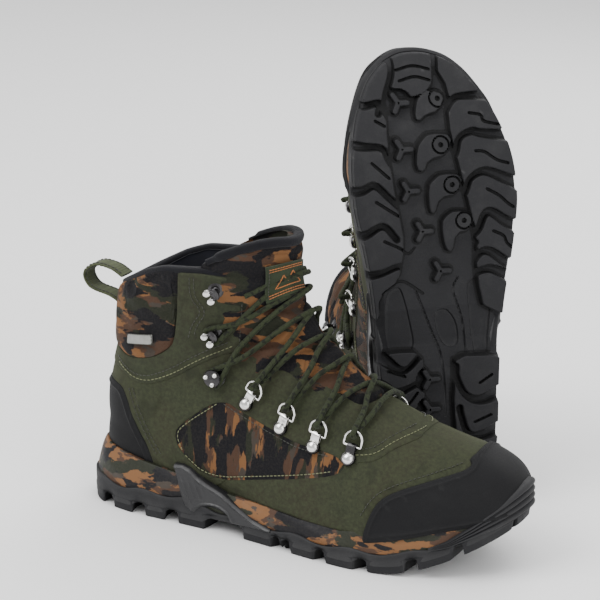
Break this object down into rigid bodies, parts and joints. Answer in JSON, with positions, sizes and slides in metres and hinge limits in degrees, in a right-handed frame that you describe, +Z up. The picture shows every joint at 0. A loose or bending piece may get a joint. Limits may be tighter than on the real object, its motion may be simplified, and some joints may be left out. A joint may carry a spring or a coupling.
{
  "type": "insulated hunting boots",
  "caption": "Pair of insulated lace-up hunting boots with lugged rubber soles, printed camouflage panels, olive suede, hooks and swinging lace rings.",
  "frame": {"origin": "the middle of the floor that the pair covers", "axes": "+X from heel to toe of the standing right boot, +Y towards the inner side of that foot, +Z up"},
  "size_m": [0.323, 0.3074, 0.3071],
  "materials": {
    "sole_rubber": "matt black moulded rubber",
    "midsole_camo": "foam with a printed camouflage skin",
    "shank_plastic": "black moulded plastic",
    "board": "pressed fibre board",
    "footbed_foam": "dark knitted cover on foam",
    "lining_fabric": "dark mesh lining",
    "insulation_fleece": "pale fibre wadding",
    "camo_fabric": "printed woven camouflage",
    "rand_rubber": "black rubber overlay with a fine grain",
    "green_suede": "olive suede with a short nap",
    "nickel": "polished nickel",
    "lace_cord": "round braided lace",
    "webbing": "olive webbing"
  },
  "bodies": {
    "right_boot": {"right_outsole": "sole_rubber", "right_midsole": "midsole_camo", "right_shank": "shank_plastic", "right_lasting_board": "board", "right_lining": "lining_fabric", "right_insulation": "insulation_fleece", "right_tongue": "camo_fabric", "right_toe_rand": "rand_rubber", "right_heel_patch": "rand_rubber", "right_vamp": "green_suede", "right_quarter": "green_suede", "right_ankle_band": "green_suede", "right_collar_cuff": "camo_fabric", "right_side_panel_outer": "camo_fabric", "right_side_panel_inner": "camo_fabric", "right_hooks_outer": "nickel", "right_hooks_inner": "nickel", "right_clips_outer": "nickel", "right_clips_inner": "nickel", "right_lace": "lace_cord", "right_pull_loop": "webbing"},
    "left_boot": {"left_outsole": "sole_rubber", "left_midsole": "midsole_camo", "left_shank": "shank_plastic", "left_lasting_board": "board", "left_lining": "lining_fabric", "left_insulation": "insulation_fleece", "left_tongue": "camo_fabric", "left_toe_rand": "rand_rubber", "left_heel_patch": "rand_rubber", "left_vamp": "green_suede", "left_quarter": "green_suede", "left_ankle_band": "green_suede", "left_collar_cuff": "camo_fabric", "left_side_panel_outer": "camo_fabric", "left_side_panel_inner": "camo_fabric", "left_hooks_outer": "nickel", "left_hooks_inner": "nickel", "left_clips_outer": "nickel", "left_clips_inner": "nickel", "left_lace": "lace_cord", "left_pull_loop": "webbing"},
    "right_footbed": {"right_footbed": "footbed_foam"},
    "right_ring_outer_1": {"right_ring_outer_1": "nickel"},
    "right_ring_outer_2": {"right_ring_outer_2": "nickel"},
    "right_ring_outer_3": {"right_ring_outer_3": "nickel"},
    "right_ring_outer_4": {"right_ring_outer_4": "nickel"},
    "right_ring_inner_1": {"right_ring_inner_1": "nickel"},
    "right_ring_inner_2": {"right_ring_inner_2": "nickel"},
    "right_ring_inner_3": {"right_ring_inner_3": "nickel"},
    "right_ring_inner_4": {"right_ring_inner_4": "nickel"},
    "left_footbed": {"left_footbed": "footbed_foam"},
    "left_ring_outer_1": {"left_ring_outer_1": "nickel"},
    "left_ring_outer_2": {"left_ring_outer_2": "nickel"},
    "left_ring_outer_3": {"left_ring_outer_3": "nickel"},
    "left_ring_outer_4": {"left_ring_outer_4": "nickel"},
    "left_ring_inner_1": {"left_ring_inner_1": "nickel"},
    "left_ring_inner_2": {"left_ring_inner_2": "nickel"},
    "left_ring_inner_3": {"left_ring_inner_3": "nickel"},
    "left_ring_inner_4": {"left_ring_inner_4": "nickel"}
  },
  "joints": [
    {"name": "left_boot_lift", "type": "slide", "parent": "right_boot", "child": "left_boot", "axis": [0, 0, 1], "range_m": [0, 0.15]},
    {"name": "right_footbed_peel", "type": "hinge", "parent": "right_boot", "child": "right_footbed", "pos_m": [0.1375, -0.0958, 0.0427], "axis": [0, 1, 0], "range_deg": [0, 6]},
    {"name": "left_footbed_peel", "type": "hinge", "parent": "left_boot", "child": "left_footbed", "pos_m": [0.02522, 0.02593, 0.2822], "axis": [0.815, 0.5728, 0.0872], "range_deg": [0, 6]},
    {"name": "right_ring_outer_1_swing", "type": "hinge", "parent": "right_boot", "child": "right_ring_outer_1", "pos_m": [-0.01929, -0.12836, 0.09716], "axis": [-0.8492, 0.1822, 0.4956], "range_deg": [-3, 3]},
    {"name": "right_ring_outer_2_swing", "type": "hinge", "parent": "right_boot", "child": "right_ring_outer_2", "pos_m": [0.00642, -0.13257, 0.08711], "axis": [-0.9251, 0.1637, 0.3427], "range_deg": [-3, 3]},
    {"name": "right_ring_outer_3_swing", "type": "hinge", "parent": "right_boot", "child": "right_ring_outer_3", "pos_m": [0.0307, -0.13658, 0.08058], "axis": [-0.9666, 0.1492, 0.2081], "range_deg": [-3, 3]},
    {"name": "right_ring_outer_4_swing", "type": "hinge", "parent": "right_boot", "child": "right_ring_outer_4", "pos_m": [0.05572, -0.1384, 0.07779], "axis": [-0.99, 0.0461, 0.133], "range_deg": [-3, 3]},
    {"name": "right_ring_inner_1_swing", "type": "hinge", "parent": "right_boot", "child": "right_ring_inner_1", "pos_m": [-0.01879, -0.05525, 0.09685], "axis": [0.8446, 0.0294, -0.5345], "range_deg": [-3, 3]},
    {"name": "right_ring_inner_2_swing", "type": "hinge", "parent": "right_boot", "child": "right_ring_inner_2", "pos_m": [0.00704, -0.05627, 0.08686], "axis": [0.9183, -0.0051, -0.3958], "range_deg": [-3, 3]},
    {"name": "right_ring_inner_3_swing", "type": "hinge", "parent": "right_boot", "child": "right_ring_inner_3", "pos_m": [0.03101, -0.05593, 0.08051], "axis": [0.9677, 0.0724, -0.2416], "range_deg": [-3, 3]},
    {"name": "right_ring_inner_4_swing", "type": "hinge", "parent": "right_boot", "child": "right_ring_inner_4", "pos_m": [0.05579, -0.05523, 0.07778], "axis": [0.9893, 0.031, -0.1423], "range_deg": [-3, 3]},
    {"name": "left_ring_outer_1_swing", "type": "hinge", "parent": "left_boot", "child": "left_ring_outer_1", "pos_m": [0.04123, 0.08404, 0.12416], "axis": [-0.3188, 0.2737, -0.9074], "range_deg": [-3, 3]},
    {"name": "left_ring_outer_2_swing", "type": "hinge", "parent": "left_boot", "child": "left_ring_outer_2", "pos_m": [0.04702, 0.07906, 0.15102], "axis": [-0.2076, 0.1565, -0.9656], "range_deg": [-3, 3]},
    {"name": "left_ring_outer_3_swing", "type": "hinge", "parent": "left_boot", "child": "left_ring_outer_3", "pos_m": [0.05083, 0.0768, 0.1761], "axis": [-0.1144, 0.0533, -0.992], "range_deg": [-3, 3]},
    {"name": "left_ring_outer_4_swing", "type": "hinge", "parent": "left_boot", "child": "left_ring_outer_4", "pos_m": [0.05067, 0.07638, 0.20133], "axis": [0.015, 0.05, -0.9986], "range_deg": [-3, 3]},
    {"name": "left_ring_inner_1_swing", "type": "hinge", "parent": "left_boot", "child": "left_ring_inner_1", "pos_m": [-0.01826, 0.04192, 0.11831], "axis": [0.169, -0.4269, 0.8884], "range_deg": [-3, 3]},
    {"name": "left_ring_inner_2_swing", "type": "hinge", "parent": "left_boot", "child": "left_ring_inner_2", "pos_m": [-0.01511, 0.03517, 0.14501], "axis": [0.1092, -0.2911, 0.9504], "range_deg": [-3, 3]},
    {"name": "left_ring_inner_3_swing", "type": "hinge", "parent": "left_boot", "child": "left_ring_inner_3", "pos_m": [-0.01489, 0.03056, 0.16938], "axis": [-0.0474, -0.2076, 0.9771], "range_deg": [-3, 3]},
    {"name": "left_ring_inner_4_swing", "type": "hinge", "parent": "left_boot", "child": "left_ring_inner_4", "pos_m": [-0.01712, 0.02873, 0.19415], "axis": [-0.0725, -0.1019, 0.9921], "range_deg": [-3, 3]}
  ]
}
